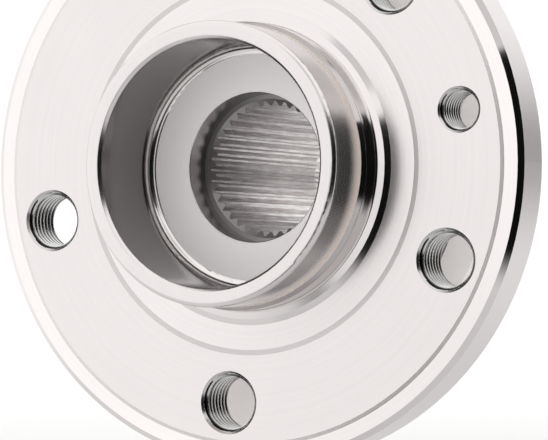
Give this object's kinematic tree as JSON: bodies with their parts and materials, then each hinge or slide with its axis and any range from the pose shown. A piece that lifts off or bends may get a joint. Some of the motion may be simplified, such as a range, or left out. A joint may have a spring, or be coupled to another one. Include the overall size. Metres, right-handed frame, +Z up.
{
  "type": "wheel hub bearing",
  "caption": "Bolt-on driven wheel hub: spigoted wheel flange with splined bore, turning on two rows of balls in a flanged outer ring with sealed ends.",
  "frame": {"origin": "on the hub axis, where the knuckle pilot meets the plane of the knuckle face", "axes": "+Y along the hub axis towards the vehicle (inboard), -Y towards the wheel, +Z up"},
  "size_m": [0.141, 0.0923, 0.141],
  "materials": {
    "turned_steel": "fine-turned bright steel",
    "bearing_steel": "ground hardened steel",
    "ring_steel": "turned and ground steel",
    "ball_steel": "polished hardened steel",
    "cage_plastic": "glass-filled polyamide, natural",
    "seal_steel": "pressed stainless sheet",
    "seal_rubber": "moulded nitrile rubber",
    "encoder_rubber": "magnetised rubber, smooth"
  },
  "bodies": {
    "fixed_ring": {"outer_ring": "ring_steel", "outboard_seal_case": "seal_steel", "outboard_seal_lips": "seal_rubber", "inboard_seal_case": "seal_steel", "inboard_seal_lips": "seal_rubber"},
    "hub": {"hub_flange": "turned_steel", "inner_ring": "bearing_steel", "inboard_slinger": "seal_steel", "encoder_ring": "encoder_rubber"},
    "outboard_row": {"outboard_cage": "cage_plastic", "outboard_ball_01": "ball_steel", "outboard_ball_02": "ball_steel", "outboard_ball_03": "ball_steel", "outboard_ball_04": "ball_steel", "outboard_ball_05": "ball_steel", "outboard_ball_06": "ball_steel", "outboard_ball_07": "ball_steel", "outboard_ball_08": "ball_steel", "outboard_ball_09": "ball_steel", "outboard_ball_10": "ball_steel", "outboard_ball_11": "ball_steel", "outboard_ball_12": "ball_steel", "outboard_ball_13": "ball_steel", "outboard_ball_14": "ball_steel"},
    "inboard_row": {"inboard_cage": "cage_plastic", "inboard_ball_01": "ball_steel", "inboard_ball_02": "ball_steel", "inboard_ball_03": "ball_steel", "inboard_ball_04": "ball_steel", "inboard_ball_05": "ball_steel", "inboard_ball_06": "ball_steel", "inboard_ball_07": "ball_steel", "inboard_ball_08": "ball_steel", "inboard_ball_09": "ball_steel", "inboard_ball_10": "ball_steel", "inboard_ball_11": "ball_steel", "inboard_ball_12": "ball_steel", "inboard_ball_13": "ball_steel", "inboard_ball_14": "ball_steel"}
  },
  "joints": [
    {"name": "hub_spin", "type": "hinge", "parent": "fixed_ring", "child": "hub", "pos_m": [0, 0, 0], "axis": [0, 1, 0], "continuous": true},
    {"name": "outboard_row_orbit", "type": "hinge", "parent": "fixed_ring", "child": "outboard_row", "pos_m": [0, 0, 0], "axis": [0, 1, 0], "continuous": true},
    {"name": "inboard_row_orbit", "type": "hinge", "parent": "fixed_ring", "child": "inboard_row", "pos_m": [0, 0, 0], "axis": [0, 1, 0], "continuous": true}
  ],
  "couplings": [
    {"joint": "outboard_row_orbit", "follows": "hub_spin", "ratio": 0.42302},
    {"joint": "inboard_row_orbit", "follows": "hub_spin", "ratio": 0.42302}
  ]
}
